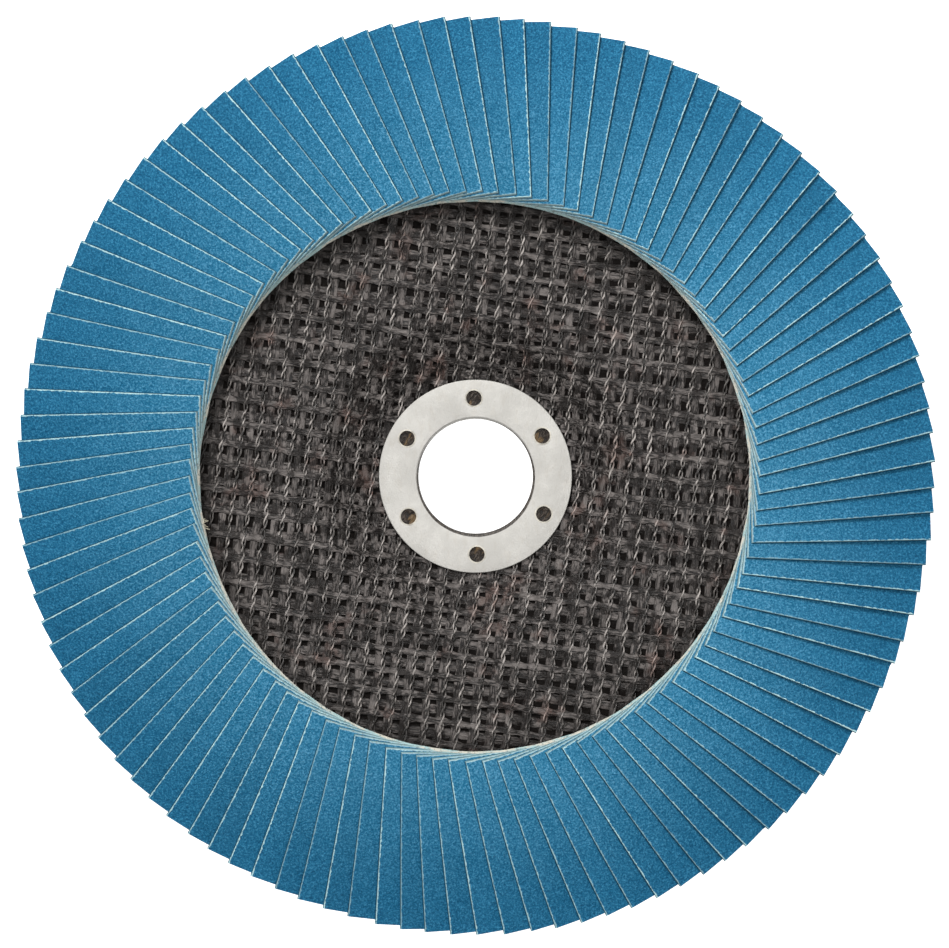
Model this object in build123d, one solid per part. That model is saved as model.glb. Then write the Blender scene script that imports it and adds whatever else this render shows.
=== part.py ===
from build123d import *
import math
import os

# Flap disc, 178 mm across: a dished glass-fibre backing plate with a pressed steel
# arbor ring, and 110 overlapping rectangles of abrasive cloth glued round its rim.
# Millimetres, abrasive side up. The origin is on the bore axis, on the rear face of
# the hub, which is the face that rests against the spindle flange.

# Arbor ring: a flanged eyelet pressed from sheet
bore = 22.23
flange_width = 7.635
ring_wall = 0.6
ring_bend = 0.5
neck_short_of_rear = 0.15
lock_holes = 6
lock_hole = 3.05
lock_inset = 3.6
lock_turn = 31.1
neck_clearance = 0.18
flange_clearance = 0.03

# Backing plate, a laminate pressed to a depressed centre and a drooping rim
plate_thick = 2.75
hub_margin = 0.25
dish_run = 10.0
dish_depth = 5.5
dish_bend = 1.0
rim_setback = 8.8
rim_chamfer = 0.4

# Front ply of glass scrim: flat weft yarns, with the thinner warp yarns across them
weave_turn = -7.5
yarn_clearance = 0.02
weft_pitch = 4.35
weft_width = 1.7
weft_thick = 0.25
warp_pitch = 3.27
warp_width = 0.9
warp_thick = 0.15

# Flaps, each a rectangle of cloth whose middle line points at the axis and whose lean
# comes from lying on the flap before it
flaps = 110
flap_turn = 0.9
flap_length = 35.3
flap_width = 27.0
flap_inner = 52.5
cloth_thick = 0.58
flap_clearance = 0.11
first_bend = 7.5
second_bend = 18.5
first_droop = 8.0
second_droop = 15.5

# Adhesive bed between the plate and the low edges of the flaps
glue_thick = 0.8
glue_gap = 0.6
glue_margin = 0.5
glue_clearance = 0.05

# Radii, heights and slopes that follow from the sizes above
ring_radius = bore / 2 + flange_width
lock_radius = ring_radius - lock_inset
hub_radius = ring_radius + hub_margin + dish_bend
dish_radius = hub_radius + dish_run
neck_outer = bore / 2 + ring_wall
step = 360 / flaps
flap_rise = (cloth_thick + flap_clearance) / (math.radians(step) * flap_inner)
half_width = flap_width / 2
bend_1 = flap_inner + first_bend
bend_2 = flap_inner + second_bend
flap_outer = flap_inner + flap_length
plate_radius = flap_outer - rim_setback
fall_1 = (bend_2 - bend_1) * math.tan(math.radians(first_droop))
fall_2 = fall_1 + (flap_outer - bend_2) * math.tan(math.radians(second_droop))
front_hub = plate_thick
front_mid = plate_thick + dish_depth
glue_high = yarn_clearance + glue_thick
flange_low = front_hub + flange_clearance


def low_edge_radius(along):
    """Distance from the axis to the hidden edge of a flap, at a distance along its middle line."""
    return math.hypot(along, half_width)


weave_inner = hub_radius + dish_bend
weave_outer = low_edge_radius(flap_inner)


def corner_points(before, corner, after, bend):
    """A corner, or with a bend the two ends of a short flat across it."""
    if not bend:
        return [corner]
    corner = Vector(*corner)
    return [corner + (Vector(*point) - corner).normalized() * bend for point in (before, after)]


def front_line(lift, bend):
    """Half section of the plate's front face, from the axis outwards, lifted straight up."""
    axis_point = (0, front_hub)
    dish_foot = (hub_radius, front_hub)
    dish_top = (dish_radius, front_mid)
    shoulder = (low_edge_radius(bend_1), front_mid)
    points = [
        axis_point,
        *corner_points(axis_point, dish_foot, dish_top, bend),
        *corner_points(dish_foot, dish_top, shoulder, bend),
        shoulder,
        (low_edge_radius(bend_2), front_mid - fall_1),
        (low_edge_radius(flap_outer), front_mid - fall_2),
    ]
    return Pos(0, lift) * Polyline(*points)


def layer_section(low, high, inner, outer, bend=0):
    """Half section between two lifts of the front face, from one radius to another."""
    under = front_line(low, bend)
    over = front_line(high, bend)
    band = make_face(under + over + Line(under @ 0, over @ 0) + Line(under @ 1, over @ 1))
    tall = 4 * (front_mid + abs(low) + abs(high))
    return band & Pos((inner + outer) / 2, 0) * Rectangle(outer - inner, tall)


def layer(low, high, inner, outer):
    """A ring of even height that follows the front face of the plate."""
    return revolve(Plane.XZ * layer_section(low, high, inner, outer), Axis.Z)


def backing_plate():
    """The pressed laminate, with its rear rim edge broken."""
    section = layer_section(-plate_thick, 0, neck_outer + neck_clearance, plate_radius, dish_bend)
    rear_edge = section.vertices().group_by(Axis.X)[-1].sort_by(Axis.Y)[0]
    section = chamfer(rear_edge, rim_chamfer)
    return revolve(Plane.XZ * section, Axis.Z)


def yarns(pitch, width, low, high, turn):
    """Parallel yarns laid over the dished face, from the hub's bend to the flaps, each a solid."""
    count = int(weave_outer / pitch)
    skin = layer(low, high, weave_inner, weave_outer)
    row = Box(2 * weave_outer, width, 4 * front_mid)
    solids = []
    for k in range(-count, count + 1):
        solids += (skin & Rot(0, 0, turn) * Pos(0, k * pitch, 0) * row).solids()
    return Compound(solids)


def weft_yarns():
    """The flat yarns, next to the plate."""
    low = yarn_clearance
    return yarns(weft_pitch, weft_width, low, low + weft_thick, weave_turn)


def warp_yarns():
    """The thinner yarns that cross over the flat ones."""
    low = weft_thick + 2 * yarn_clearance
    return yarns(warp_pitch, warp_width, low, low + warp_thick, weave_turn + 90)


def hub_ring():
    """Flange and neck bent from one sheet, with locking holes through the flange."""
    inside = bore / 2
    flange_high = flange_low + ring_wall
    outline = [
        (inside + ring_bend, flange_high),
        (ring_radius, flange_high),
        (ring_radius, flange_low),
        (neck_outer, flange_low),
        (neck_outer, neck_short_of_rear),
        (inside, neck_short_of_rear),
        (inside, flange_high - ring_bend),
    ]
    section = make_face(Polyline(*outline, close=True))
    hole = Cylinder(lock_hole / 2, 4 * ring_wall)
    places = PolarLocations(lock_radius, lock_holes, lock_turn)
    return revolve(Plane.XZ * section, Axis.Z) - [Pos(0, 0, flange_low) * place * hole for place in places]


def adhesive_bed():
    """The ring of resin that the hidden edges of the flaps stand in."""
    return layer(yarn_clearance, glue_high, weave_outer + glue_gap, plate_radius - glue_margin)


def flap():
    """One flap on the X axis: a strip with two gentle bends, its clockwise edge lifted."""
    middle = front_mid + glue_high + glue_clearance + half_width * flap_rise
    under = [
        (flap_inner, middle),
        (bend_1, middle),
        (bend_2, middle - fall_1),
        (flap_outer, middle - fall_2),
    ]
    over = [(along, z + cloth_thick) for along, z in reversed(under)]
    strip = make_face(Polyline(*under, *over, close=True))
    across = Vector(0, -1, flap_rise)
    start = Pos(0, half_width, -half_width * flap_rise)
    return extrude(start * (Plane.XZ * strip), flap_width * across.length, dir=across)


def flap_pair(first):
    """A flap and the next one round, which lies on it."""
    numbers = range(first, min(first + 2, flaps))
    return Compound([Rot(0, 0, flap_turn + number * step) * flap() for number in numbers])


def model():
    """Every piece by name."""
    pieces = {
        "backing_plate": backing_plate(),
        "weft_yarns": weft_yarns(),
        "warp_yarns": warp_yarns(),
        "hub_ring": hub_ring(),
        "adhesive_bed": adhesive_bed(),
    }
    for first in range(0, flaps, 2):
        pieces[f"flap_pair_{first // 2 + 1:02d}"] = flap_pair(first)
    return pieces


os.makedirs("parts", exist_ok=True)
for name, piece in model().items():
    export_step(piece, f"parts/{name}.step")
    print(name, round(piece.volume, 1))
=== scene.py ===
import math
import random

import bpy
from bpy.props import FloatProperty, FloatVectorProperty, IntProperty, PointerProperty
from mathutils import Matrix, Vector, noise


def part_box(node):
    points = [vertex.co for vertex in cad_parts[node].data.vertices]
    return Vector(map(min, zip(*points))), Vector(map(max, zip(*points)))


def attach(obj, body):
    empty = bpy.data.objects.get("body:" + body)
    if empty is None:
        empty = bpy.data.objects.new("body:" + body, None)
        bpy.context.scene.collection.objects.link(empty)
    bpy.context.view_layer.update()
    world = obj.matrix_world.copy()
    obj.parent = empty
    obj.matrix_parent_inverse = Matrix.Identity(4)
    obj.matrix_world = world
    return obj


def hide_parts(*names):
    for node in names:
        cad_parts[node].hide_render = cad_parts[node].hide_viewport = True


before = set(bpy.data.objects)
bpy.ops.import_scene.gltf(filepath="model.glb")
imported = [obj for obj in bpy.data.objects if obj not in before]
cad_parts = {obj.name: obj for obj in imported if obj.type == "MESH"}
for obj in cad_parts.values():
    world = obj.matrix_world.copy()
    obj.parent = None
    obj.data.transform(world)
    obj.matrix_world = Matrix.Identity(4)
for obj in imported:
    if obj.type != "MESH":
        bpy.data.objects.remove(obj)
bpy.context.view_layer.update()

bl_info = {
    "name": "Flap disc",
    "version": (1, 0, 0),
    "blender": (4, 5, 0),
    "location": "3D View > Sidebar > Flap Disc",
    "description": "Dresses the frame of a flap disc: cloth flaps, scrim, backing plate and arbor ring",
    "category": "Object",
}

MM = 0.001
RING_LOW, RING_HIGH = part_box("hub_ring")
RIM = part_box("backing_plate")[1].x
# Distance from the axis at which the flaps bend down over the rim, and the slope that each bend adds
BENDS = ((60.0 * MM, 0.1405), (71.0 * MM, 0.1368))
# How far the sunken face of the well reaches past the scrim that lies in it
MARGIN = 0.3 * MM


# Settings

def length(name, description, default):
    return FloatProperty(name=name, description=description, default=default, unit="LENGTH")


def angle(name, description, degrees):
    return FloatProperty(name=name, description=description, default=math.radians(degrees), subtype="ANGLE")


def amount(name, description, default):
    return FloatProperty(name=name, description=description, default=default, min=0)


def colour(name, description, default):
    return FloatVectorProperty(name=name, description=description, default=default, size=3,
                               min=0, max=1, subtype="COLOR")


class FlapSettings(bpy.types.PropertyGroup):
    """Sizes and colours of the abrasive flaps."""
    count: IntProperty(name="Flaps", description="Number of flaps round the disc", default=110, min=2)
    turn: angle("First flap", "Direction of the first flap's middle line, from the X axis", 0.9)
    inner: length("Inner end", "Distance from the axis to the inner end", 52.9 * MM)
    long: length("Length", "Length seen from above", 34.9 * MM)
    wide: length("Width", "Width seen from above", 27.0 * MM)
    thick: length("Cloth", "Thickness of the coated cloth", 0.58 * MM)
    height: length("Height", "Height of the middle line's underside", 12.227 * MM)
    rise: amount("Rise", "Rise of the cloth for each unit of width", 0.2301)
    bend: length("Bend", "Half the length of a bend along the flap", 2.5 * MM)
    cut: length("Cut slope", "How far the free edge leans back from the underside", 0.26 * MM)
    end_cut: length("End slope", "How far the inner end leans back from the underside", 0.32 * MM)
    swing: angle("Swing", "How far a flap may stand off its exact direction", 0.2)
    shift: length("Shift", "How far a flap may stand in from its exact place", 0.2 * MM)
    uneven: length("Uneven reach", "How far the disc's outline lies off the ring's centre", 0.16 * MM)
    grit: colour("Grit", "Colour of the coated face", (0.034, 0.238, 0.410))
    grit_dark: colour("Dark grit", "Colour between the grains", (0.000, 0.105, 0.225))
    grit_light: colour("Light grit", "Colour of the lighter grains", (0.165, 0.455, 0.695))
    edge: colour("Cut edge", "Colour of the cut threads", (0.66, 0.98, 1.0))


class PlateSettings(bpy.types.PropertyGroup):
    """Sizes and colours of the backing plate and its resin."""
    thick: length("Thickness", "Thickness of the laminate", 2.75 * MM)
    clearance: length("Clearance", "Gap between the plate and the ring's neck", 0.18 * MM)
    hub: length("Hub", "Radius at which the dish starts to rise", 20.0 * MM)
    dish: length("Dish", "Radius at which the dish ends", 30.0 * MM)
    depth: length("Depth", "Depth of the dish", 5.5 * MM)
    bend: length("Bend radius", "Radius of the bends of the dish", 3.0 * MM)
    rim_bend: length("Rim bend radius", "Radius of the bends towards the rim", 18.0 * MM)
    sunk: length("Sunk", "How far the face of the well lies under the scrim", 0.5 * MM)
    resin: colour("Resin", "Colour of the cured resin", (0.022, 0.018, 0.015))
    glass: colour("Glass under resin", "Colour of the glass that shows through", (0.075, 0.064, 0.056))


class ScrimSettings(bpy.types.PropertyGroup):
    """Sizes and colours of the glass scrim that shows in the well."""
    turn: angle("Turn", "Direction of the flat yarns, from the X axis", -7.5)
    under_turn: angle("Under turn", "Direction of the ply beneath, from the ply on top", 1.2)
    weft_pitch: length("Weft pitch", "Spacing of the flat yarns", 4.35 * MM)
    weft_wide: length("Weft width", "Width of the flat yarns", 1.52 * MM)
    warp_pitch: length("Warp pitch", "Spacing of the twisted pairs", 3.27 * MM)
    warp_wide: length("Warp width", "Width of one yarn of a twisted pair", 0.36 * MM)
    warp_swing: length("Warp swing", "How far a twisted yarn swings to each side", 0.30 * MM)
    under_wide: length("Under width", "Width of the rovings in the ply beneath", 1.61 * MM)
    inner: length("Inner edge", "Radius at which the scrim ends next to the ring", 18.82 * MM)
    outer: length("Outer edge", "Radius at which the scrim ends under the flaps", 54.0 * MM)
    yarn: colour("Yarn", "Colour of the twisted yarns", (0.430, 0.390, 0.362))
    roving: colour("Roving", "Colour of the flat yarns", (0.162, 0.144, 0.135))


class RingSettings(bpy.types.PropertyGroup):
    """Sizes and colours of the arbor ring and the resin in its locking holes."""
    bore: length("Bore", "Diameter of the bore", 22.23 * MM)
    wall: length("Sheet", "Thickness of the sheet", 0.6 * MM)
    bend: length("Bend", "Outer radius of the bend from flange to neck", 0.55 * MM)
    holes: IntProperty(name="Holes", description="Number of locking holes", default=6, min=1)
    hole: length("Hole", "Diameter of a locking hole", 3.05 * MM)
    hole_radius: length("Hole circle", "Radius of the circle of holes", 15.15 * MM)
    hole_turn: angle("Hole turn", "Direction of the first hole", 31.1)
    # These stain settings place the painted shade in the bore, over the neck and part of the bend, further on
    # one side
    stain: length("Stain", "How far the resin's stain reaches over the bend", 0.34 * MM)
    bore_shade_more: length("Stain's lean", "How much further it reaches on one side", 0.30 * MM)
    bore_shade_turn: angle("Stain turn", "Direction of that side, from the X axis", 285)
    metal: colour("Metal", "Colour of the sheet", (0.56, 0.545, 0.51))


class StageSettings(bpy.types.PropertyGroup):
    """Camera and light of the stage."""
    reach: length("Camera distance", "Distance from the camera to the flaps", 0.95)
    lean: angle("Camera lean", "How far the camera leans from straight above, towards Y", 0.2)
    aside: angle("Camera side lean", "How far the camera leans from straight above, towards X", 1.2)
    across: length("Picture width", "Width of the picture at the flaps", 182.58 * MM)
    light: angle("Light direction", "Direction of the main light, from the X axis", 110)
    main_power: amount("Main light", "Power of the main light", 9.0)
    overhead_power: amount("Overhead light", "Power of the light above the disc", 1.4)
    surround: amount("Surround", "Strength of the light from all round", 0.22)
    floor: colour("Floor", "Colour of the floor and the backdrop", (0.93, 0.93, 0.93))


GROUPS = {
    "flap_settings": FlapSettings,
    "plate_settings": PlateSettings,
    "scrim_settings": ScrimSettings,
    "ring_settings": RingSettings,
    "stage_settings": StageSettings,
}


# Shader helpers

def fill(tree, node, inputs):
    """Sets a node's inputs, or links them where the value is a socket."""
    for name, value in inputs.items():
        if isinstance(value, bpy.types.NodeSocket):
            tree.links.new(value, node.inputs[name])
        else:
            node.inputs[name].default_value = value


def place(tree, kind, inputs, **options):
    """Adds a node with its options and its inputs, and gives its outputs."""
    node = tree.nodes.new(kind)
    for name, value in options.items():
        setattr(node, name, value)
    fill(tree, node, inputs)
    return node.outputs


def sums(tree, operation, *values):
    """A Math node's output."""
    return place(tree, "ShaderNodeMath", dict(enumerate(values)), operation=operation)[0]


def vectors(tree, operation, *values):
    """A Vector Math node's outputs."""
    return place(tree, "ShaderNodeVectorMath", dict(enumerate(values)), operation=operation)


def clouds(tree, vector, scale, **inputs):
    """A Noise Texture's outputs."""
    return place(tree, "ShaderNodeTexNoise", {"Vector": vector, "Scale": scale, **inputs})


def between(tree, value, low, high, to_low=0.0, to_high=1.0, smooth=True):
    """Maps a value from one range to another, held at its ends."""
    kind = "SMOOTHSTEP" if smooth else "LINEAR"
    names = {"Value": value, "From Min": low, "From Max": high, "To Min": to_low, "To Max": to_high}
    return place(tree, "ShaderNodeMapRange", names, interpolation_type=kind)[0]


def blend(tree, share, one, two, kind="MIX"):
    """Mixes two colours."""
    return place(tree, "ShaderNodeMix", {0: share, 6: one, 7: two}, data_type="RGBA", blend_type=kind)[2]


def use(tree, name, **inputs):
    """Places a shader node group with its own values, and gives its outputs."""
    named = {label.replace("_", " "): value for label, value in inputs.items()}
    return place(tree, "ShaderNodeGroup", named, node_tree=bpy.data.node_groups[name])


def uv_parts(tree, name):
    """The two values of one of the piece's own UV maps."""
    parts = place(tree, "ShaderNodeSeparateXYZ", {0: place(tree, "ShaderNodeUVMap", {}, uv_map=name)[0]})
    return parts["X"], parts["Y"]


def from_axis(tree, points):
    """The coordinates without their height, and their distance from the axis."""
    level = vectors(tree, "MULTIPLY", points, (1, 1, 0))[0]
    return level, vectors(tree, "LENGTH", level)["Value"]


def along_yarns(tree, points, turn):
    """The coordinates turned so that X runs along the flat yarns."""
    return place(tree, "ShaderNodeMapping", {"Vector": points, "Rotation": (0, 0, -turn)})[0]


def swapped(tree, vector):
    """The coordinates with X and Y exchanged."""
    parts = place(tree, "ShaderNodeSeparateXYZ", {0: vector})
    return place(tree, "ShaderNodeCombineXYZ", {"X": parts["Y"], "Y": parts["X"], "Z": parts["Z"]})[0]


def rgba(values, share=1.0):
    """A colour, darker or lighter by a share, with its alpha."""
    return (*(min(1.0, share * part) for part in values), 1.0)


def effect(name, inputs, outputs):
    """Starts a shader node group and gives its tree, its inputs and its output node."""
    tree = bpy.data.node_groups.new(name, "ShaderNodeTree")
    tree.interface.new_socket("Vector", in_out="INPUT", socket_type="NodeSocketVector")
    for label, default in inputs.items():
        socket = tree.interface.new_socket(label, in_out="INPUT", socket_type="NodeSocketFloat")
        socket.default_value = default
    for label in outputs:
        tree.interface.new_socket(label, in_out="OUTPUT", socket_type="NodeSocketFloat")
    return tree, tree.nodes.new("NodeGroupInput").outputs, tree.nodes.new("NodeGroupOutput")


def grain_effect():
    """Fine grains, with a coarser unevenness under them."""
    tree, given, made = effect("Grain", {"Grain size": 0.0003, "Patch size": 0.004}, ("Grains", "Patches"))
    fine = clouds(tree, given["Vector"], sums(tree, "DIVIDE", 1.0, given["Grain size"]),
                  Detail=3.0, Roughness=0.65)
    broad = clouds(tree, given["Vector"], sums(tree, "DIVIDE", 1.0, given["Patch size"]),
                   Detail=4.0, Roughness=0.6)
    fill(tree, made, {"Grains": between(tree, fine[0], 0.3, 0.7, smooth=False),
                      "Patches": between(tree, broad[0], 0.3, 0.7, smooth=False)})


def fibre_effect():
    """Long thin streaks, as of glass filaments, that run along the vector's Y."""
    tree, given, made = effect("Fibres", {"Fibre width": 0.0002, "Stretch": 0.07}, ("Streaks", "Wisps"))
    scale = place(tree, "ShaderNodeCombineXYZ", {"X": 1.0, "Y": given["Stretch"], "Z": 1.0})[0]
    drawn = vectors(tree, "MULTIPLY", given["Vector"], scale)[0]
    fine = clouds(tree, drawn, sums(tree, "DIVIDE", 1.0, given["Fibre width"]),
                  Detail=2.0, Roughness=0.6, Distortion=0.15)
    broad = clouds(tree, drawn, sums(tree, "DIVIDE", 0.3, given["Fibre width"]), Detail=2.0, Roughness=0.5)
    fill(tree, made, {"Streaks": between(tree, fine[0], 0.40, 0.62, smooth=False),
                      "Wisps": between(tree, broad[0], 0.35, 0.65, smooth=False)})


def scrim_effect():
    """An open mesh of flat yarns, over and under each other, pressed into resin."""
    tree, given, made = effect("Pressed mesh", {"Pitch": 0.0033, "Yarn share": 0.62}, ("Height", "Yarn"))
    wander = clouds(tree, given["Vector"], 160.0, Detail=2.0)["Color"]
    shift = vectors(tree, "MULTIPLY", wander, (0.0009, 0.0009, 0.0))[0]
    moved = vectors(tree, "ADD", given["Vector"], shift)[0]
    parts = place(tree, "ShaderNodeSeparateXYZ", {0: moved})
    masks = []
    counts = []
    for axis in ("X", "Y"):
        turns = sums(tree, "DIVIDE", parts[axis], given["Pitch"])
        counts.append(sums(tree, "FLOOR", turns))
        off = sums(tree, "ABSOLUTE", sums(tree, "SUBTRACT", sums(tree, "FRACT", turns), 0.5))
        share = sums(tree, "DIVIDE", sums(tree, "MULTIPLY", off, 2.0), given["Yarn share"])
        inside = sums(tree, "MAXIMUM", sums(tree, "SUBTRACT", 1.0, share), 0.0)
        masks.append(sums(tree, "POWER", inside, 0.5))
    odd = sums(tree, "FLOORED_MODULO", sums(tree, "ADD", *counts), 2.0)
    lift = sums(tree, "MULTIPLY", odd, 0.45)
    over = sums(tree, "MULTIPLY", masks[0], sums(tree, "ADD", 0.55, lift))
    under = sums(tree, "MULTIPLY", masks[1], sums(tree, "SUBTRACT", 1.0, lift))
    height = sums(tree, "MAXIMUM", over, under)
    fill(tree, made, {"Height": height, "Yarn": between(tree, height, 0.05, 0.35)})


def new_material(name):
    """A material with its tree, its shader and object coordinates."""
    made = bpy.data.materials.new(name)
    made.use_nodes = True
    tree = made.node_tree
    return made, tree, tree.nodes["Principled BSDF"], place(tree, "ShaderNodeTexCoord", {})["Object"]


def bump(tree, shader, height, distance, strength=1.0):
    """Feeds a height into the shader's normal."""
    raised = place(tree, "ShaderNodeBump", {"Height": height, "Distance": distance, "Strength": strength})
    fill(tree, shader, {"Normal": raised[0]})


# Finishes

def grit_material(sizes):
    """Coated face of the cloth: blue grit with light and dark grains, and cut threads at its edges."""
    made, tree, shader, points = new_material("blue_grit")
    along, across = uv_parts(tree, "cloth")
    own_white, own_value = uv_parts(tree, "tone")
    grain = use(tree, "Grain", Vector=points, Grain_size=0.0004, Patch_size=0.006)
    speck = clouds(tree, points, 4200.0, Detail=1.0)[0]
    deep = blend(tree, between(tree, grain["Grains"], 0.0, 0.5, smooth=False),
                 rgba(sizes.grit_dark), rgba(sizes.grit))
    tone = blend(tree, between(tree, grain["Grains"], 0.5, 1.0, smooth=False), deep, rgba(sizes.grit_light))
    worn = blend(tree, between(tree, grain["Patches"], 0.0, 1.0, 0.0, 0.10), tone, rgba(sizes.grit_light))
    glint = between(tree, speck, 0.68, 0.78)
    bright = blend(tree, sums(tree, "MULTIPLY", glint, 0.35), worn, (0.30, 0.50, 0.62, 1))
    pitted = blend(tree, between(tree, speck, 0.36, 0.47, 0.6, 0.0), bright, rgba(sizes.grit_dark))
    # The outer end is painted darker, as painted shade of the light falling off outwards, and each flap has a
    # tone of its own
    shaded_outward = blend(tree, between(tree, along, -3.0, 35.0), pitted, (0.36, 0.69, 0.78, 1), "MULTIPLY")
    value = between(tree, own_value, 0.0, 1.0, 0.95, 1.05, smooth=False)
    toned = place(tree, "ShaderNodeHueSaturation", {"Value": value, "Color": shaded_outward})[0]
    # Cut threads stand out along the free edge and the inner end
    fray = clouds(tree, points, 1500.0, Detail=3.0)[0]
    ragged = sums(tree, "MULTIPLY", sums(tree, "SUBTRACT", fray, 0.48), 0.6)
    free = between(tree, sums(tree, "SUBTRACT", across, ragged), 0.31, 0.39, 1.0, 0.0)
    inner = between(tree, sums(tree, "SUBTRACT", along, ragged), 0.33, 0.43, 1.0, 0.0)
    broken = between(tree, fray, 0.38, 0.50, 0.60, 1.0)
    threads = sums(tree, "MAXIMUM", sums(tree, "MULTIPLY", free, broken), inner)
    white = between(tree, own_white, 0.0, 1.0, 0.30, 0.95, smooth=False)
    fill(tree, shader, {
        "Base Color": blend(tree, sums(tree, "MULTIPLY", threads, white), toned, rgba(sizes.edge)),
        "Roughness": between(tree, grain["Grains"], 0.0, 1.0, 0.62, 0.85), "Specular IOR Level": 0.18})
    bump(tree, shader, sums(tree, "ADD", grain["Grains"], sums(tree, "MULTIPLY", glint, 0.5)), 0.00012, 0.8)
    return made


def cut_material(sizes):
    """Cut edge of the cloth: white threads, with blue and dark flecks between them."""
    made, tree, shader, points = new_material("cut_threads")
    rise = uv_parts(tree, "cloth")[1]
    own_white = uv_parts(tree, "tone")[0]
    grain = use(tree, "Grain", Vector=points, Grain_size=0.0005, Patch_size=0.003)
    white = blend(tree, grain["Patches"], rgba(sizes.edge, 0.86), rgba(sizes.edge))
    share = between(tree, own_white, 0.0, 1.0, 0.5, 0.0, smooth=False)
    faded = blend(tree, share, white, (0.14, 0.36, 0.48, 1))
    threads = blend(tree, between(tree, grain["Grains"], 0.15, 0.45), (0.12, 0.32, 0.44, 1), faded)
    # A dark line is painted along the foot of the cut edge, as painted shadow of the gap under the threads
    tone = blend(tree, between(tree, rise, 0.13, 0.18), (0.018, 0.085, 0.140, 1), threads)
    fill(tree, shader, {"Base Color": tone, "Roughness": 0.9, "Specular IOR Level": 0.1})
    bump(tree, shader, grain["Grains"], 0.00012, 0.8)
    return made


def end_material():
    """Cut inner end of the cloth: white threads at the top, cream and teal ones lower down."""
    made, tree, shader, points = new_material("cut_ends")
    back = uv_parts(tree, "cloth")[0]
    height = place(tree, "ShaderNodeSeparateXYZ", {0: points})["Z"]
    grain = use(tree, "Grain", Vector=points, Grain_size=0.0006, Patch_size=0.0035)
    mixed = blend(tree, between(tree, grain["Patches"], 0.35, 0.70),
                  (0.97, 0.93, 0.78, 1), (0.56, 0.84, 0.84, 1))
    teal = blend(tree, grain["Patches"], (0.12, 0.38, 0.45, 1), (0.28, 0.56, 0.60, 1))
    lined = blend(tree, between(tree, back, 0.04, 0.09), (0.010, 0.050, 0.070, 1), teal)
    crown = blend(tree, between(tree, back, 0.20, 0.25), lined, (0.56, 0.80, 0.88, 1))
    upper = blend(tree, between(tree, height, 13.3 * MM, 13.8 * MM), mixed, crown)
    tone = blend(tree, between(tree, grain["Grains"], 0.05, 0.45), (0.20, 0.30, 0.30, 1), upper)
    fill(tree, shader, {"Base Color": tone, "Roughness": 0.85, "Sheen Weight": 0.8})
    bump(tree, shader, grain["Grains"], 0.00012, 0.8)
    return made


def backing_material():
    """Woven back of the cloth, sized with resin: tan-grey, with a fine weave."""
    made, tree, shader, points = new_material("cloth_back")
    cloth = place(tree, "ShaderNodeUVMap", {}, uv_map="cloth")[0]
    mesh = use(tree, "Pressed mesh", Vector=cloth, Pitch=0.55, Yarn_share=0.95)
    grain = use(tree, "Grain", Vector=points, Grain_size=0.0004, Patch_size=0.005)
    tone = blend(tree, mesh["Height"], (0.10, 0.16, 0.17, 1), (0.30, 0.36, 0.33, 1))
    aged = blend(tree, sums(tree, "MULTIPLY", grain["Patches"], 0.4), tone, (0.34, 0.31, 0.22, 1))
    fill(tree, shader, {"Base Color": aged, "Roughness": 0.85})
    bump(tree, shader, mesh["Height"], 0.0001)
    return made


def laminate_material(sizes, turn):
    """Plate: glass mesh pressed into dark resin, glossier where the resin is rich."""
    made, tree, shader, points = new_material("laminate")
    turned = along_yarns(tree, points, turn)
    mesh = use(tree, "Pressed mesh", Vector=turned, Pitch=0.0031, Yarn_share=0.72)
    streak = use(tree, "Fibres", Vector=swapped(tree, turned), Fibre_width=0.0003, Stretch=0.1)
    grain = use(tree, "Grain", Vector=points, Grain_size=0.0007, Patch_size=0.008)
    glass = blend(tree, streak["Streaks"], rgba(sizes.glass, 0.5), rgba(sizes.glass))
    wet = blend(tree, sums(tree, "MULTIPLY", grain["Patches"], 0.5), glass, rgba(sizes.resin))
    fill(tree, shader, {"Base Color": blend(tree, mesh["Yarn"], rgba(sizes.resin), wet),
                        "Roughness": between(tree, mesh["Height"], 0.0, 1.0, 0.38, 0.62)})
    raised = sums(tree, "MULTIPLY", streak["Streaks"], 0.15)
    bump(tree, shader, sums(tree, "ADD", mesh["Height"], raised), 0.00022)
    return made


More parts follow.
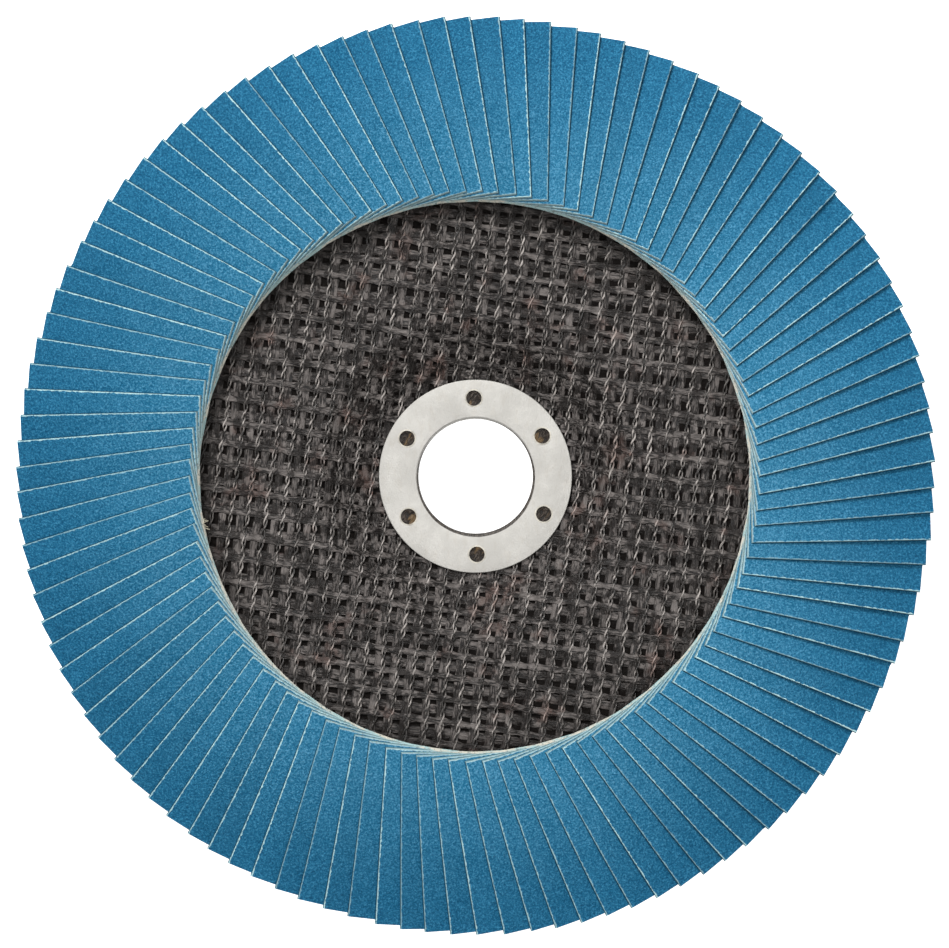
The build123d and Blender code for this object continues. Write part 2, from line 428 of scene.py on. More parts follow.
def yarn_material(name, tint, turn, across, lift, shine=0.25):
    """Glass yarn wetted with resin: bright filaments on top, painted shade where the yarn lies low, and
    near-black patches where resin has soaked in.
    """
    made, tree, shader, points = new_material(name)
    turned = along_yarns(tree, points, turn)
    streak = use(tree, "Fibres", Vector=turned if across else swapped(tree, turned),
                 Fibre_width=0.0003, Stretch=0.18)
    grain = use(tree, "Grain", Vector=points, Grain_size=0.0009, Patch_size=0.0022)
    stain = use(tree, "Grain", Vector=points, Grain_size=0.003, Patch_size=0.008)
    glass = blend(tree, streak["Streaks"], rgba(tint, 0.05), rgba(tint, 1.15))
    tinted = blend(tree, between(tree, streak["Wisps"], 0.45, 0.9, 0.0, 0.7), glass, rgba(tint, 1.6))
    rust = rgba((tint[0], 0.66 * tint[1], 0.58 * tint[2]))
    rusty = blend(tree, between(tree, stain["Patches"], 0.62, 0.95, 0.0, 0.45), tinted, rust)
    # Painted shade where the yarn lies low, under and between the yarns that cross it
    low = between(tree, uv_parts(tree, "lay")[1], *lift, 0.9, 0.0)
    soaked = between(tree, grain["Patches"], 0.42, 0.66, 0.0, 0.85)
    # Near-black: the colour of soaked-in resin, and also of the painted shade
    resin = (0.008, 0.006, 0.005, 1)
    tone = blend(tree, sums(tree, "MAXIMUM", low, soaked), rusty, resin)
    # Painted shade next to the flaps, where they shadow the scrim
    away = from_axis(tree, points)[1]
    flap_shade = between(tree, away, 49.0 * MM, 52.3 * MM, 0.0, 0.5)
    fill(tree, shader, {"Base Color": blend(tree, flap_shade, tone, resin), "Specular IOR Level": shine,
                        "Roughness": between(tree, grain["Grains"], 0.0, 1.0, 0.30, 0.5)})
    raised = sums(tree, "MULTIPLY", grain["Grains"], 0.4)
    bump(tree, shader, sums(tree, "ADD", streak["Streaks"], raised), 0.0001)
    return made


def bed_material(sizes):
    """Adhesive: cured dark resin with lumps and pores."""
    made, tree, shader, points = new_material("adhesive")
    grain = use(tree, "Grain", Vector=points, Grain_size=0.0012, Patch_size=0.006)
    tone = blend(tree, grain["Patches"], rgba(sizes.resin), (0.055, 0.040, 0.028, 1))
    fill(tree, shader, {"Base Color": tone, "Roughness": between(tree, grain["Grains"], 0.0, 1.0, 0.3, 0.55)})
    raised = sums(tree, "MULTIPLY", grain["Grains"], 0.3)
    bump(tree, shader, sums(tree, "ADD", grain["Patches"], raised), 0.0004)
    return made


def metal_material(sizes):
    """Ring: tinned sheet, matt from the press, with fine scuffs, and painted shade in the bore."""
    made, tree, shader, points = new_material("tinned_sheet")
    grain = use(tree, "Grain", Vector=points, Grain_size=0.00035, Patch_size=0.005)
    scuff = use(tree, "Fibres", Vector=points, Fibre_width=0.00025, Stretch=0.3)
    dull = blend(tree, grain["Patches"], rgba(sizes.metal, 0.93), rgba(sizes.metal))
    tone = blend(tree, between(tree, scuff["Wisps"], 0.6, 1.0, 0.0, 0.18), dull, (0.48, 0.44, 0.38, 1))
    # The neck and part of the bend are painted dark brown as painted shade in the bore, reaching further on
    # one side
    level, away = from_axis(tree, points)
    side = vectors(tree, "DOT_PRODUCT", level, round_axis(2 / sizes.bore, sizes.bore_shade_turn))["Value"]
    reach = sums(tree, "ADD", sizes.bore / 2 + sizes.stain, sums(tree, "MULTIPLY", side, sizes.bore_shade_more))
    uneven = sums(tree, "MULTIPLY", sums(tree, "SUBTRACT", grain["Patches"], 0.5), 0.10 * MM)
    past = sums(tree, "SUBTRACT", away, sums(tree, "ADD", reach, uneven))
    stain = between(tree, past, -0.06 * MM, 0.06 * MM, 1.0, 0.0)
    # Streaked dark brown of the painted shade in the bore
    resin = blend(tree, scuff["Streaks"], (0.022, 0.018, 0.014, 1), (0.120, 0.100, 0.082, 1))
    bare = sums(tree, "SUBTRACT", 1.0, stain)
    fill(tree, shader, {"Base Color": blend(tree, stain, tone, resin),
                        "Metallic": sums(tree, "MULTIPLY", bare, 0.55),
                        "Roughness": between(tree, grain["Patches"], 0.0, 1.0, 0.42, 0.58)})
    bump(tree, shader, sums(tree, "ADD", grain["Grains"], scuff["Streaks"]), 0.00001)
    return made


def plug_material(name, tint, rough, shine=0.5):
    """Cured resin, uneven in tone."""
    made, tree, shader, points = new_material(name)
    grain = use(tree, "Grain", Vector=points, Grain_size=0.0004, Patch_size=0.0015)
    fill(tree, shader, {"Base Color": blend(tree, grain["Patches"], rgba(tint, 0.5), rgba(tint)),
                        "Roughness": between(tree, grain["Grains"], 0.0, 1.0, rough, rough + 0.25),
                        "Specular IOR Level": shine})
    bump(tree, shader, grain["Patches"], 0.0002)
    return made


def hole_material():
    """Resin and glass pressed up into a locking hole: dark, with grey and golden fibres."""
    made, tree, shader, points = new_material("hole_resin")
    drawn = place(tree, "ShaderNodeMapping", {"Vector": points, "Rotation": (0.4, 0.2, 0.6)})[0]
    streak = use(tree, "Fibres", Vector=drawn, Fibre_width=0.0004, Stretch=0.3)
    dark = blend(tree, streak["Streaks"], (0.010, 0.007, 0.005, 1), (0.075, 0.058, 0.045, 1))
    tone = blend(tree, between(tree, streak["Wisps"], 0.74, 1.0, 0.0, 0.7), dark, (0.22, 0.14, 0.065, 1))
    fill(tree, shader, {"Base Color": tone, "Roughness": 0.4, "Specular IOR Level": 0.3})
    bump(tree, shader, streak["Streaks"], 0.00015)
    return made


def paper_material(sizes):
    """Studio paper of the floor, faintly uneven and lit from within."""
    made, tree, shader, points = new_material("studio_paper")
    grain = use(tree, "Grain", Vector=points, Grain_size=0.002, Patch_size=0.3)
    tone = blend(tree, grain["Patches"], rgba(sizes.floor, 0.99), rgba(sizes.floor))
    fill(tree, shader, {"Base Color": tone, "Roughness": 0.9,
                        "Emission Color": (1, 1, 1, 1), "Emission Strength": 1.0})
    return made


# Modelling helpers

def round_axis(radius, turn, height=0.0):
    """A point at a radius and a direction from the axis."""
    return Vector((radius * math.cos(turn), radius * math.sin(turn), height))


def nothing_selected():
    if bpy.context.mode != "OBJECT":
        bpy.ops.object.mode_set(mode="OBJECT")
    bpy.ops.object.select_all(action="DESELECT")


def alone(piece):
    """Selects one piece and nothing else."""
    nothing_selected()
    piece.select_set(True)
    bpy.context.view_layer.objects.active = piece


def edit(piece):
    """Goes into edit mode on one piece alone."""
    alone(piece)
    bpy.ops.object.mode_set(mode="EDIT")


def pick(piece, wanted):
    """Selects the vertices of the piece being edited that a test picks out."""
    bpy.ops.mesh.select_mode(type="VERT")
    bpy.ops.mesh.select_all(action="DESELECT")
    bpy.ops.object.mode_set(mode="OBJECT")
    for vertex in piece.data.vertices:
        vertex.select = wanted(vertex)
    bpy.ops.object.mode_set(mode="EDIT")


def settle(piece):
    """Puts the piece's place into its mesh, with its object at the origin."""
    alone(piece)
    bpy.ops.object.transform_apply(location=True, rotation=True, scale=True)
    return piece


def apply_all(piece):
    """Applies the piece's modifiers."""
    alone(piece)
    for modifier in list(piece.modifiers):
        bpy.ops.object.modifier_apply(modifier=modifier.name)


def soft_shading(piece, degrees):
    """Smooth shading, with edges kept sharp past an angle."""
    alone(piece)
    bpy.ops.object.shade_smooth_by_angle(angle=math.radians(degrees))


def turn_by(piece, turn):
    """Turns the piece's mesh about the axis."""
    piece.data.transform(Matrix.Rotation(turn, 4, "Z"))


def move_by(piece, move):
    """Moves the piece's mesh."""
    piece.data.transform(Matrix.Translation(move))


def copy_of(piece, name):
    """A copy with its own mesh."""
    twin = piece.copy()
    twin.data = piece.data.copy()
    twin.name = name
    bpy.context.scene.collection.objects.link(twin)
    return twin


def joined(pieces, name):
    """Joins pieces into one."""
    alone(pieces[0])
    for piece in pieces:
        piece.select_set(True)
    bpy.ops.object.join()
    pieces[0].name = name
    return pieces[0]


def rounded(points, bends, steps):
    """An open line with arcs of the given radii at its corners, corner number to radius."""
    line = [Vector(point) for point in points]
    smooth = []
    for number, corner in enumerate(line):
        radius = bends.get(number)
        if radius is None:
            smooth.append(corner)
            continue
        back = (line[number - 1] - corner).normalized()
        on = (line[number + 1] - corner).normalized()
        half = back.angle(on) / 2
        middle = corner + (back + on).normalized() * radius / math.sin(half)
        start = corner + back * radius / math.tan(half) - middle
        end = corner + on * radius / math.tan(half) - middle
        whole = start.angle(end)
        for step in range(steps + 1):
            share = step / steps
            part = (start * math.sin((1 - share) * whole) + end * math.sin(share * whole)) / math.sin(whole)
            smooth.append(middle + part)
    return smooth


def spun(name, outline, steps):
    """Draws a closed half-section by extruding a corner round it, and spins it about the axis."""
    nothing_selected()
    start = outline[0]
    bpy.ops.mesh.primitive_plane_add(size=MM, location=(start.x, 0, start.y))
    piece = bpy.context.object
    piece.name = name
    bpy.ops.object.mode_set(mode="EDIT")
    bpy.ops.mesh.select_mode(type="VERT")
    bpy.ops.mesh.merge(type="CENTER")
    for before, after in zip(outline, outline[1:]):
        move = (after.x - before.x, 0, after.y - before.y)
        bpy.ops.mesh.extrude_region_move(TRANSFORM_OT_translate={"value": move})
    last = len(outline) - 1
    pick(piece, lambda vertex: vertex.index in (0, last))
    bpy.ops.mesh.edge_face_add()
    bpy.ops.mesh.select_all(action="SELECT")
    bpy.ops.mesh.spin(steps=steps, angle=2 * math.pi, center=(0, 0, 0), axis=(0, 0, 1))
    bpy.ops.mesh.select_all(action="SELECT")
    bpy.ops.mesh.remove_doubles(threshold=1e-6)
    bpy.ops.mesh.normals_make_consistent(inside=False)
    return settle(piece)


def strand(name, stations, flat=False):
    """A strand along X: at each station its place, centre, width, foot and top."""
    nothing_selected()
    bpy.ops.mesh.primitive_circle_add(
        vertices=5, radius=0.5 * MM, fill_type="NOTHING", location=(0, 0, 0), rotation=(0, math.pi / 2, 0))
    piece = settle(bpy.context.object)
    piece.name = name
    edit(piece)
    bpy.ops.mesh.select_mode(type="EDGE")
    bpy.ops.mesh.select_all(action="SELECT")
    for before, after in zip(stations, stations[1:]):
        bpy.ops.mesh.extrude_region_move(TRANSFORM_OT_translate={"value": (after[0] - before[0], 0, 0)})
    bpy.ops.object.mode_set(mode="OBJECT")
    # Each loop of five takes the section of its station: two feet, two shoulders, a crown
    side, high = (0.41, 0.86) if flat else (0.36, 0.72)
    section = [(-0.5, 0.0), (-side, high), (0.0, 1.0), (side, high), (0.5, 0.0)]
    for number, (along, centre, width, foot, top) in enumerate(stations):
        for corner, (across, share) in enumerate(section):
            piece.data.vertices[number * 5 + corner].co = (
                along, centre + across * width, foot + share * (top - foot))
    lay = piece.data.uv_layers.new(name="lay")
    for loop in piece.data.loops:
        spot = piece.data.vertices[loop.vertex_index].co
        lay.data[loop.index].uv = (spot.x / MM, spot.z / MM)
    return piece


def cut_to(piece, low, high):
    """Cuts a strand along X to a length and closes its ends."""
    edit(piece)
    for at, side in ((low, -1), (high, 1)):
        bpy.ops.mesh.select_all(action="SELECT")
        bpy.ops.mesh.bisect(plane_co=(at, 0, 0), plane_no=(side, 0, 0), use_fill=True,
                            clear_outer=True, threshold=1e-7)
    bpy.ops.object.mode_set(mode="OBJECT")


def coat(piece, *finishes):
    """Gives the piece its finishes, numbered as its faces are."""
    for finish in finishes:
        piece.data.materials.append(finish)


def seat(piece, slot, *nodes):
    """Puts the piece on the frame, in place of the CAD nodes that it stands for."""
    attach(piece, "root")
    if nodes:
        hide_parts(*nodes)


def front_line(scene):
    """Half section of the plate's front face as a smooth line, which the scrim follows too."""
    plate, flaps = scene.plate_settings, scene.flap_settings
    level = plate.thick + plate.depth
    corners = [(0.0, plate.thick), (plate.hub, plate.thick), (plate.dish, level)]
    # From the first bend outwards it follows the low edges of the flaps
    for along in (BENDS[0][0], BENDS[1][0], flaps.inner + flaps.long):
        fall = sum(slope * max(0.0, along - bend) for bend, slope in BENDS)
        corners.append((math.hypot(along, flaps.wide / 2), level - fall))
    bends = {1: plate.bend, 2: plate.bend, 3: plate.rim_bend, 4: plate.rim_bend}
    return rounded(corners, bends, 4)


def height_on(line, radius):
    """Height of a line at a radius."""
    for before, after in zip(line, line[1:]):
        if radius <= after.x:
            share = (radius - before.x) / max(after.x - before.x, 1e-9)
            return before.y + share * (after.y - before.y)
    return line[-1].y


def hole_places(sizes, height):
    """Centres of the ring's locking holes."""
    step = 2 * math.pi / sizes.holes
    turns = [sizes.hole_turn + number * step for number in range(sizes.holes)]
    return [round_axis(sizes.hole_radius, turn, height) for turn in turns]


class FLAPDISC_OT_finishes(bpy.types.Operator):
    """Builds the shader effects that several finishes use"""
    bl_idname = "flapdisc.finishes"
    bl_label = "Shader effects"

    def execute(self, context):
        grain_effect()
        fibre_effect()
        scrim_effect()
        return {"FINISHED"}


class FLAPDISC_OT_plate(bpy.types.Operator):
    """Spins the pressed backing plate, with soft bends and a broken rim"""
    bl_idname = "flapdisc.plate"
    bl_label = "Backing plate"

    def execute(self, context):
        scene = context.scene
        sizes, scrim, ring = scene.plate_settings, scene.scrim_settings, scene.ring_settings
        line = front_line(scene)
        hole = ring.bore / 2 + ring.wall + sizes.clearance

        def face(radii, drop):
            return [Vector((radius, height_on(line, radius) - drop(radius))) for radius in radii]

        def sunken(radius):
            return sizes.sunk if scrim.inner <= radius <= scrim.outer else 0.0

        radii = [hole, *(point.x for point in line if hole < point.x < RIM), RIM]
        steps = [scrim.inner - MARGIN, scrim.inner, scrim.outer, scrim.outer + MARGIN]
        front = face(sorted(radii + steps), sunken)
        rear = face(radii, lambda radius: sizes.thick)
        # The rear rim edge is broken
        corner = rear.pop()
        rear += [corner + Vector((-0.5 * MM, 0.12 * MM)), corner + Vector((0, 0.5 * MM))]
        piece = spun("backing_plate_laminate", front + rear[::-1], 144)
        soft_shading(piece, 40)
        # Faces of the well under the scrim take the resin's own dark colour, darkened further as painted
        # shade in the gaps between the yarns
        for part in piece.data.polygons:
            if part.normal.z > 0.3 and math.hypot(part.center.x, part.center.y) < scrim.outer:
                part.material_index = 1
        coat(piece, laminate_material(sizes, scrim.turn),
             plug_material("well_resin_shade", (0.008, 0.006, 0.005), 0.6, 0.1))
        seat(piece, "resin_laminate", "backing_plate")
        return {"FINISHED"}


class FLAPDISC_OT_scrim(bpy.types.Operator):
    """Lays the glass scrim in the well: rovings beneath, flat wefts and twisted warps"""
    bl_idname = "flapdisc.scrim"
    bl_label = "Glass scrim"

    def laid(self, cell, name, pitch, spacing, turn, sizes, offset=0.0):
        """Repeats a cell into a long strand, cuts copies of it to the well, and turns them."""
        inner, outer = sizes.inner, sizes.outer
        cells = int(outer / pitch + 1.5)
        repeat = cell.modifiers.new("Repeat", "ARRAY")
        repeat.use_relative_offset = False
        repeat.use_constant_offset = True
        repeat.constant_offset_displace = (pitch, 0, 0)
        repeat.use_merge_vertices = True
        repeat.merge_threshold = 0.01 * MM
        repeat.count = 2 * cells + 1
        apply_all(cell)
        move_by(cell, (-pitch * (cells + 0.5), 0, 0))
        rows = []
        draw = random.Random(name)
        most = int(outer / spacing)
        for row in range(-most, most + 1):
            across = (row + offset + draw.uniform(-0.05, 0.05)) * spacing
            if across >= outer:
                continue
            far = math.sqrt(outer ** 2 - across ** 2)
            spans = [(-far, far)]
            if abs(across) < inner:
                near = math.sqrt(inner ** 2 - across ** 2)
                spans = [(-far, -near), (near, far)]
            for low, high in spans:
                if high - low < spacing / 2:
                    continue
                twin = copy_of(cell, name)
                cut_to(twin, low, high)
                turn_by(twin, draw.uniform(-0.006, 0.006))
                move_by(twin, (0, across, 0))
                rows.append(twin)
        bpy.data.objects.remove(cell)
        piece = joined(rows, name)
        turn_by(piece, turn)
        return piece

    def draped(self, piece, line, wander, limit):
        """Drops the strands onto the dished face, each a little out of true."""
        for vertex in piece.data.vertices:
            x, y, z = vertex.co
            spot = Vector((x, y, z * 3))
            drift = (noise.noise_vector(spot * 110) + noise.noise_vector(spot * 420) * 0.45) * wander
            x, y = x + drift.x, y + drift.y
            radius = math.hypot(x, y)
            if radius > limit:
                x, y = x * limit / radius, y * limit / radius
            vertex.co = (x, y, z + drift.z * 0.15 + height_on(line, min(radius, limit)))
        edit(piece)
        bpy.ops.mesh.select_all(action="SELECT")
        bpy.ops.mesh.normals_make_consistent(inside=False)
        soft_shading(piece, 50)

    def execute(self, context):
        noise.seed_set(7)
        sizes = context.scene.scrim_settings
        line = front_line(context.scene)
        turn = sizes.turn
        upright = turn + math.pi / 2
        limit = sizes.outer + MARGIN

        def wave(step, steps):
            return math.cos(2 * math.pi * step / steps)

        # Ply beneath: rovings both ways, half a pitch off the yarns above
        beneath = []
        ways = (
            (turn, sizes.weft_pitch, sizes.warp_pitch, sizes.under_wide * 1.15, -0.20),
            (upright, sizes.warp_pitch, sizes.weft_pitch, sizes.under_wide, -0.10),
        )
        for way, spacing, pitch, wide, top in ways:
            stations = [
                (pitch * 2 * step / 8, 0.0, wide * (1 + 0.08 * wave(step, 4)),
                 (top - 0.30) * MM, (top + 0.06 * wave(step, 8)) * MM)
                for step in range(9)]
            cell = strand("roving", stations, flat=True)
            beneath.append(self.laid(cell, "rovings", 2 * pitch, spacing, way + sizes.under_turn, sizes, 0.5))
        flat_faces = len(beneath[0].data.polygons)
        under = joined(beneath, "scrim_under_ply")
        self.draped(under, line, 0.50 * MM, limit)
        for face in under.data.polygons[flat_faces:]:
            face.material_index = 1
        coat(under, yarn_material("under_flat", sizes.roving, turn, False, (-0.40, -0.12)),
             yarn_material("under_upright", sizes.roving, turn, True, (-0.32, -0.06)))
        seat(under, "glass_scrim")

        # Flat wefts, pinched where a twisted pair crosses them
        pitch = sizes.warp_pitch
        stations = [
            (pitch * step / 6, 0.0, sizes.weft_wide * (1 - 0.16 * wave(step, 6)), -0.12 * MM,
             (0.15 - 0.05 * wave(step, 6)) * MM)
            for step in range(7)]
        cell = strand("weft", stations, flat=True)
        wefts = self.laid(cell, "scrim_wefts", pitch, sizes.weft_pitch, turn, sizes)
        self.draped(wefts, line, 0.38 * MM, limit)
        coat(wefts, yarn_material("weft_glass", sizes.roving, turn, False, (-0.02, 0.16)))
        seat(wefts, "glass_scrim", "weft_yarns")

        # Twisted pairs: two yarns wound round each other, one turn from weft to weft
        pitch = sizes.weft_pitch
        pairs = []
        for start in (0.0, math.pi):
            stations = []
            for step in range(13):
                phase = 2 * math.pi * step / 12 + start
                top = (0.30 + 0.11 * math.cos(phase)) * MM
                stations.append((pitch * step / 12, -sizes.warp_swing * math.sin(phase),
                                 sizes.warp_wide * (1 + 0.15 * math.cos(phase)), top - 0.22 * MM, top))
            cell = strand("twisted", stations)
            pairs.append(self.laid(cell, "twisted", pitch, sizes.warp_pitch, upright, sizes))
        warps = joined(pairs, "scrim_warps")
        self.draped(warps, line, 0.40 * MM, limit)
        coat(warps, yarn_material("warp_glass", sizes.yarn, turn, True, (0.12, 0.34), 0.6))
        seat(warps, "glass_scrim", "warp_yarns")
        return {"FINISHED"}


class FLAPDISC_OT_ring(bpy.types.Operator):
    """Spins the arbor ring and punches its locking holes"""
    bl_idname = "flapdisc.ring"
    bl_label = "Arbor ring"

    def execute(self, context):
        sizes = context.scene.ring_settings
        inside = sizes.bore / 2
        neck = inside + sizes.wall
        outside = RING_HIGH.x
        top, foot = RING_HIGH.z, RING_LOW.z
        low = top - sizes.wall
        outline = rounded(
            [(inside, foot), (inside, top), (outside, top), (outside, low), (neck, low), (neck, foot)],
            {1: sizes.bend, 2: 0.15 * MM, 3: 0.1 * MM, 4: 0.15 * MM}, 6)
        piece = spun("arbor_ring", outline, 128)
        for centre in hole_places(sizes, low):
            nothing_selected()
            bpy.ops.mesh.primitive_cylinder_add(
                vertices=40, radius=sizes.hole / 2, depth=4 * sizes.wall, location=centre)
            punch = bpy.context.object
            cut = piece.modifiers.new("Hole", "BOOLEAN")
            cut.operation = "DIFFERENCE"
            cut.solver = "EXACT"
            cut.object = punch
            apply_all(piece)
            bpy.data.objects.remove(punch)
        soft_shading(piece, 35)
        coat(piece, metal_material(sizes))
        seat(piece, "tinned_steel", "hub_ring")
        return {"FINISHED"}


class FLAPDISC_OT_lock_resin(bpy.types.Operator):
    """Fills the locking holes with resin that has run up from the plate"""
    bl_idname = "flapdisc.lock_resin"
    bl_label = "Resin in the holes"

    def execute(self, context):
        sizes = context.scene.ring_settings
        top = RING_HIGH.z
        radius = sizes.hole / 2
        foot = top - 0.60 * MM
        lip = top + 0.01 * MM
        crest = top + 0.04 * MM
        plug = spun("plug", [Vector(point) for point in (
            (0.0, foot), (radius - 0.03 * MM, foot), (radius - 0.03 * MM, lip), (radius + 0.27 * MM, lip),
            (radius + 0.16 * MM, crest), (radius - 0.01 * MM, crest), (radius - 0.05 * MM, top - 0.12 * MM),
            (radius * 0.5, top - 0.30 * MM), (0.0, top - 0.26 * MM))], 32)
        for face in plug.data.polygons:
            away = math.hypot(face.center.x, face.center.y)
            face.material_index = 1 if away > radius and face.center.z > top else 0
        soft_shading(plug, 60)
        coat(plug, hole_material(), plug_material("hole_rim", (0.90, 0.85, 0.74), 0.5))
        plugs = []
        draw = random.Random(4)
        for centre in hole_places(sizes, 0.0):
            twin = copy_of(plug, "plug")
            turn_by(twin, draw.uniform(0, 6))
            move_by(twin, centre)
            plugs.append(twin)
        bpy.data.objects.remove(plug)
        seat(joined(plugs, "lock_hole_resin"), "adhesive_resin")
        return {"FINISHED"}


class FLAPDISC_OT_bed(bpy.types.Operator):
    """Gives the adhesive bed its finish"""
    bl_idname = "flapdisc.bed"
    bl_label = "Adhesive bed"

    def execute(self, context):
        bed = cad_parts["adhesive_bed"]
        bed.data.materials.clear()
        coat(bed, bed_material(context.scene.plate_settings))
        return {"FINISHED"}


class FLAPDISC_OT_flaps(bpy.types.Operator):
    """Models one abrasive flap and lays copies of it round the disc"""
    bl_idname = "flapdisc.flaps"
    bl_label = "Abrasive flaps"

    def fall(self, along, reach):
        """How far the middle line has dropped at a distance from the axis, over two soft bends."""
        dropped = 0.0
        for bend, slope in BENDS:
            past = along - bend
            if past >= reach:
                dropped += slope * past
            elif past > -reach:
                dropped += slope * (past + reach) ** 2 / (4 * reach)
        return dropped

    def one_flap(self, sizes):
        """A slab of cloth on the X axis, bent over the rim and leaning on its neighbour."""
        nothing_selected()
        middle = sizes.inner + sizes.long / 2
        bpy.ops.mesh.primitive_cube_add(
            size=1, location=(middle, 0, sizes.thick / 2), scale=(sizes.long, sizes.wide, sizes.thick))
        piece = settle(bpy.context.object)
        piece.name = "flap"
        edit(piece)
        cuts = [bend + side * sizes.bend for bend, slope in BENDS for side in (-1, 0, 1)]
        for cut in (*cuts, 80.6 * MM):
            bpy.ops.mesh.select_all(action="SELECT")
            bpy.ops.mesh.bisect(plane_co=(cut, 0, 0), plane_no=(1, 0, 0))
        # The shears lean, so the cut edges slope back from the underside
        top = sizes.thick * 0.9
        pick(piece, lambda vertex: vertex.co.z > top and vertex.co.y < 0)
        bpy.ops.transform.translate(value=(0, sizes.cut, 0))
        pick(piece, lambda vertex: vertex.co.z > top and vertex.co.x < sizes.inner + 0.1 * MM)
        bpy.ops.transform.translate(value=(sizes.end_cut, 0, 0))
        bpy.ops.object.mode_set(mode="OBJECT")
        cloth = piece.data.uv_layers.active
        cloth.name = "cloth"
        for loop in piece.data.loops:
            spot = piece.data.vertices[loop.vertex_index].co
            cloth.data[loop.index].uv = ((spot.x - sizes.inner) / MM, (spot.y + sizes.wide / 2) / MM)
        # Grit on top, cut edges at the sides, cut ends and the woven back
        for face in piece.data.polygons:
            if face.normal.z > 0.95:
                face.material_index = 0
            elif face.normal.z < -0.95:
                face.material_index = 3
            else:
                face.material_index = 2 if abs(face.normal.x) > 0.7 else 1
        for vertex in piece.data.vertices:
            along, across, up = vertex.co
            vertex.co.z = sizes.height + up - self.fall(along, sizes.bend) - across * sizes.rise
        coat(piece, grit_material(sizes), cut_material(sizes), end_material(), backing_material())
        soft_shading(piece, 30)
        return piece

    def execute(self, context):
        sizes = context.scene.flap_settings
        flap = self.one_flap(sizes)
        draw = random.Random(11)
        step = 2 * math.pi / sizes.count
        # The bends make the cloth a little longer than it looks from above
        for number in range(sizes.count):
            twin = copy_of(flap, f"flap_{number + 1:03d}")
            turn = sizes.turn + number * step + max(-1.0, min(1.0, draw.gauss(0, 0.6))) * sizes.swing
            shift = draw.uniform(-sizes.shift, 0.0)
            # The outline lies off the ring's centre towards Y, as in the photo
            short = sizes.uneven * (1 - math.sin(turn))
            for vertex in twin.data.vertices:
                if vertex.co.x > sizes.inner + sizes.long - 1 * MM:
                    vertex.co.x -= short
            move_by(twin, (shift, 0, 0))
            # Each flap's own whiteness of the cut threads, and lightness of the grit
            own = (draw.random() ** 1.2, draw.random())
            tone = twin.data.uv_layers.new(name="tone", do_init=False)
            for corner in tone.data:
                corner.uv = own
            turn_by(twin, turn)
            seat(twin, "abrasive_cloth", f"flap_pair_{number // 2 + 1:02d}")
        bpy.data.objects.remove(flap)
        return {"FINISHED"}


class FLAPDISC_OT_fray(bpy.types.Operator):
    """Leaves cut threads standing out of the flaps' inner ends"""
    bl_idname = "flapdisc.fray"
    bl_label = "Frayed threads"

    def execute(self, context):
        sizes = context.scene.flap_settings
        stations = [
            (along * MM, 0.05 * bend * MM, wide * MM, (low - 0.06) * MM, (low + 0.06) * MM)
            for along, bend, wide, low in (
                (-1.5, 0, 0.16, -0.1), (-0.9, 1, 0.18, 0.0), (-0.4, -1, 0.16, 0.02), (0.1, 1, 0.15, 0.0),
                (0.8, -2, 0.14, -0.03), (1.2, -3, 0.12, -0.05))]
        thread = strand("thread", stations)
        draw = random.Random(23)
        # Single threads all round, and a small tuft where the photo shows one
        places = [(draw.uniform(0, 2 * math.pi), draw.uniform(-0.1, 0.35)) for _ in range(44)]
        places += [(math.radians(189.1 + 0.35 * number), 0.9 + 0.30 * (number % 3)) for number in range(6)]
        threads = []
        for turn, out in places:
            twin = copy_of(thread, "thread")
            cut_to(twin, -1.4 * MM, (out - 0.5) * MM)
            turn_by(twin, math.pi + turn + draw.uniform(-0.5, 0.5))
            height = sizes.height + draw.uniform(0.1, 0.7) * MM
            move_by(twin, round_axis(sizes.inner - 0.1 * MM, turn, height))
            threads.append(twin)
        bpy.data.objects.remove(thread)
        piece = joined(threads, "frayed_threads")
        soft_shading(piece, 60)
        coat(piece, plug_material("frayed_thread", (0.86, 0.80, 0.62), 0.7, 0.1))
        seat(piece, "abrasive_cloth")
        return {"FINISHED"}


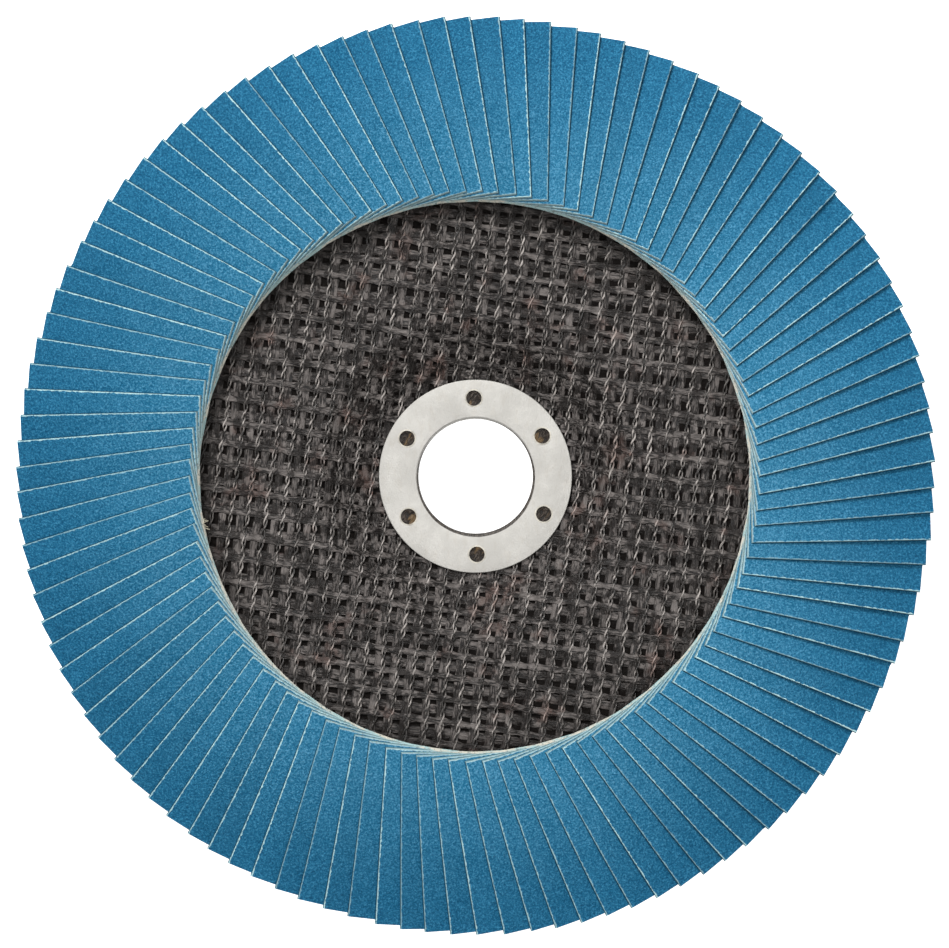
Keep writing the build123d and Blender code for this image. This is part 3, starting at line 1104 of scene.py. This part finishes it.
class FLAPDISC_OT_stage(bpy.types.Operator):
    """Sets the floor, the soft lights and the camera"""
    bl_idname = "flapdisc.stage"
    bl_label = "Stage"

    def light(self, name, where, size, power):
        """A round soft light that points at the disc."""
        lamp = bpy.data.lights.new(name, "AREA")
        lamp.shape = "DISK"
        lamp.size = size
        lamp.energy = power
        stand = bpy.data.objects.new(name, lamp)
        stand.location = where
        stand.rotation_euler = (-where).to_track_quat("-Z", "Y").to_euler()
        stand.visible_camera = False
        bpy.context.scene.collection.objects.link(stand)

    def execute(self, context):
        scene = context.scene
        sizes = scene.stage_settings
        scene.view_settings.view_transform = "Standard"
        nothing_selected()
        bpy.ops.mesh.primitive_grid_add(
            x_subdivisions=8, y_subdivisions=8, size=6, location=(0, 0, -0.5 * MM))
        floor = settle(bpy.context.object)
        floor.name = "studio_floor"
        coat(floor, paper_material(sizes))

        self.light("main_light", round_axis(0.75, sizes.light, 0.95), 0.4, sizes.main_power)
        self.light("overhead_light", Vector((0.0, 0.0, 0.65)), 0.45, sizes.overhead_power)
        world = bpy.data.worlds.new("studio")
        world.use_nodes = True
        backdrop = world.node_tree.nodes["Background"]
        fill(world.node_tree, backdrop, {"Color": (1, 1, 1, 1), "Strength": sizes.surround})
        scene.world = world

        # The point at the middle of the picture
        target = Vector((-0.01 * MM, 0.46 * MM, 11 * MM))
        flat = math.cos(sizes.lean)
        lens = bpy.data.cameras.new("camera")
        lens.sensor_width = 36
        lens.lens = lens.sensor_width * sizes.reach / sizes.across
        lens.clip_start = 0.01
        lens.clip_end = 20
        camera = bpy.data.objects.new("camera", lens)
        camera.location = target + sizes.reach * Vector((
            math.sin(sizes.aside) * flat, math.sin(sizes.lean), math.cos(sizes.aside) * flat))
        camera.rotation_euler = (-sizes.lean, sizes.aside, 0)
        scene.collection.objects.link(camera)
        scene.camera = camera
        return {"FINISHED"}


OPERATORS = (
    FLAPDISC_OT_finishes,
    FLAPDISC_OT_plate,
    FLAPDISC_OT_scrim,
    FLAPDISC_OT_ring,
    FLAPDISC_OT_lock_resin,
    FLAPDISC_OT_bed,
    FLAPDISC_OT_flaps,
    FLAPDISC_OT_fray,
    FLAPDISC_OT_stage,
)


class FLAPDISC_PT_panel(bpy.types.Panel):
    """Lists the sizes and the pieces of the flap disc"""
    bl_idname = "FLAPDISC_PT_panel"
    bl_label = "Flap Disc"
    bl_space_type = "VIEW_3D"
    bl_region_type = "UI"
    bl_category = "Flap Disc"

    def draw(self, context):
        layout = self.layout
        for name, group in GROUPS.items():
            box = layout.box()
            box.label(text=group.__doc__.rstrip("."))
            for label in group.__annotations__:
                box.prop(getattr(context.scene, name), label)
        for operator in OPERATORS:
            layout.operator(operator.bl_idname)


CLASSES = (*GROUPS.values(), *OPERATORS, FLAPDISC_PT_panel)


def register():
    for kind in CLASSES:
        bpy.utils.register_class(kind)
    for name, group in GROUPS.items():
        setattr(bpy.types.Scene, name, PointerProperty(type=group))


def unregister():
    for name in GROUPS:
        delattr(bpy.types.Scene, name)
    for kind in reversed(CLASSES):
        bpy.utils.unregister_class(kind)


def main():
    """Makes every piece in order."""
    register()
    bpy.ops.flapdisc.finishes()
    bpy.ops.flapdisc.plate()
    bpy.ops.flapdisc.scrim()
    bpy.ops.flapdisc.ring()
    bpy.ops.flapdisc.lock_resin()
    bpy.ops.flapdisc.bed()
    bpy.ops.flapdisc.flaps()
    bpy.ops.flapdisc.fray()
    bpy.ops.flapdisc.stage()
    nothing_selected()


if __name__ == "__main__":
    main()
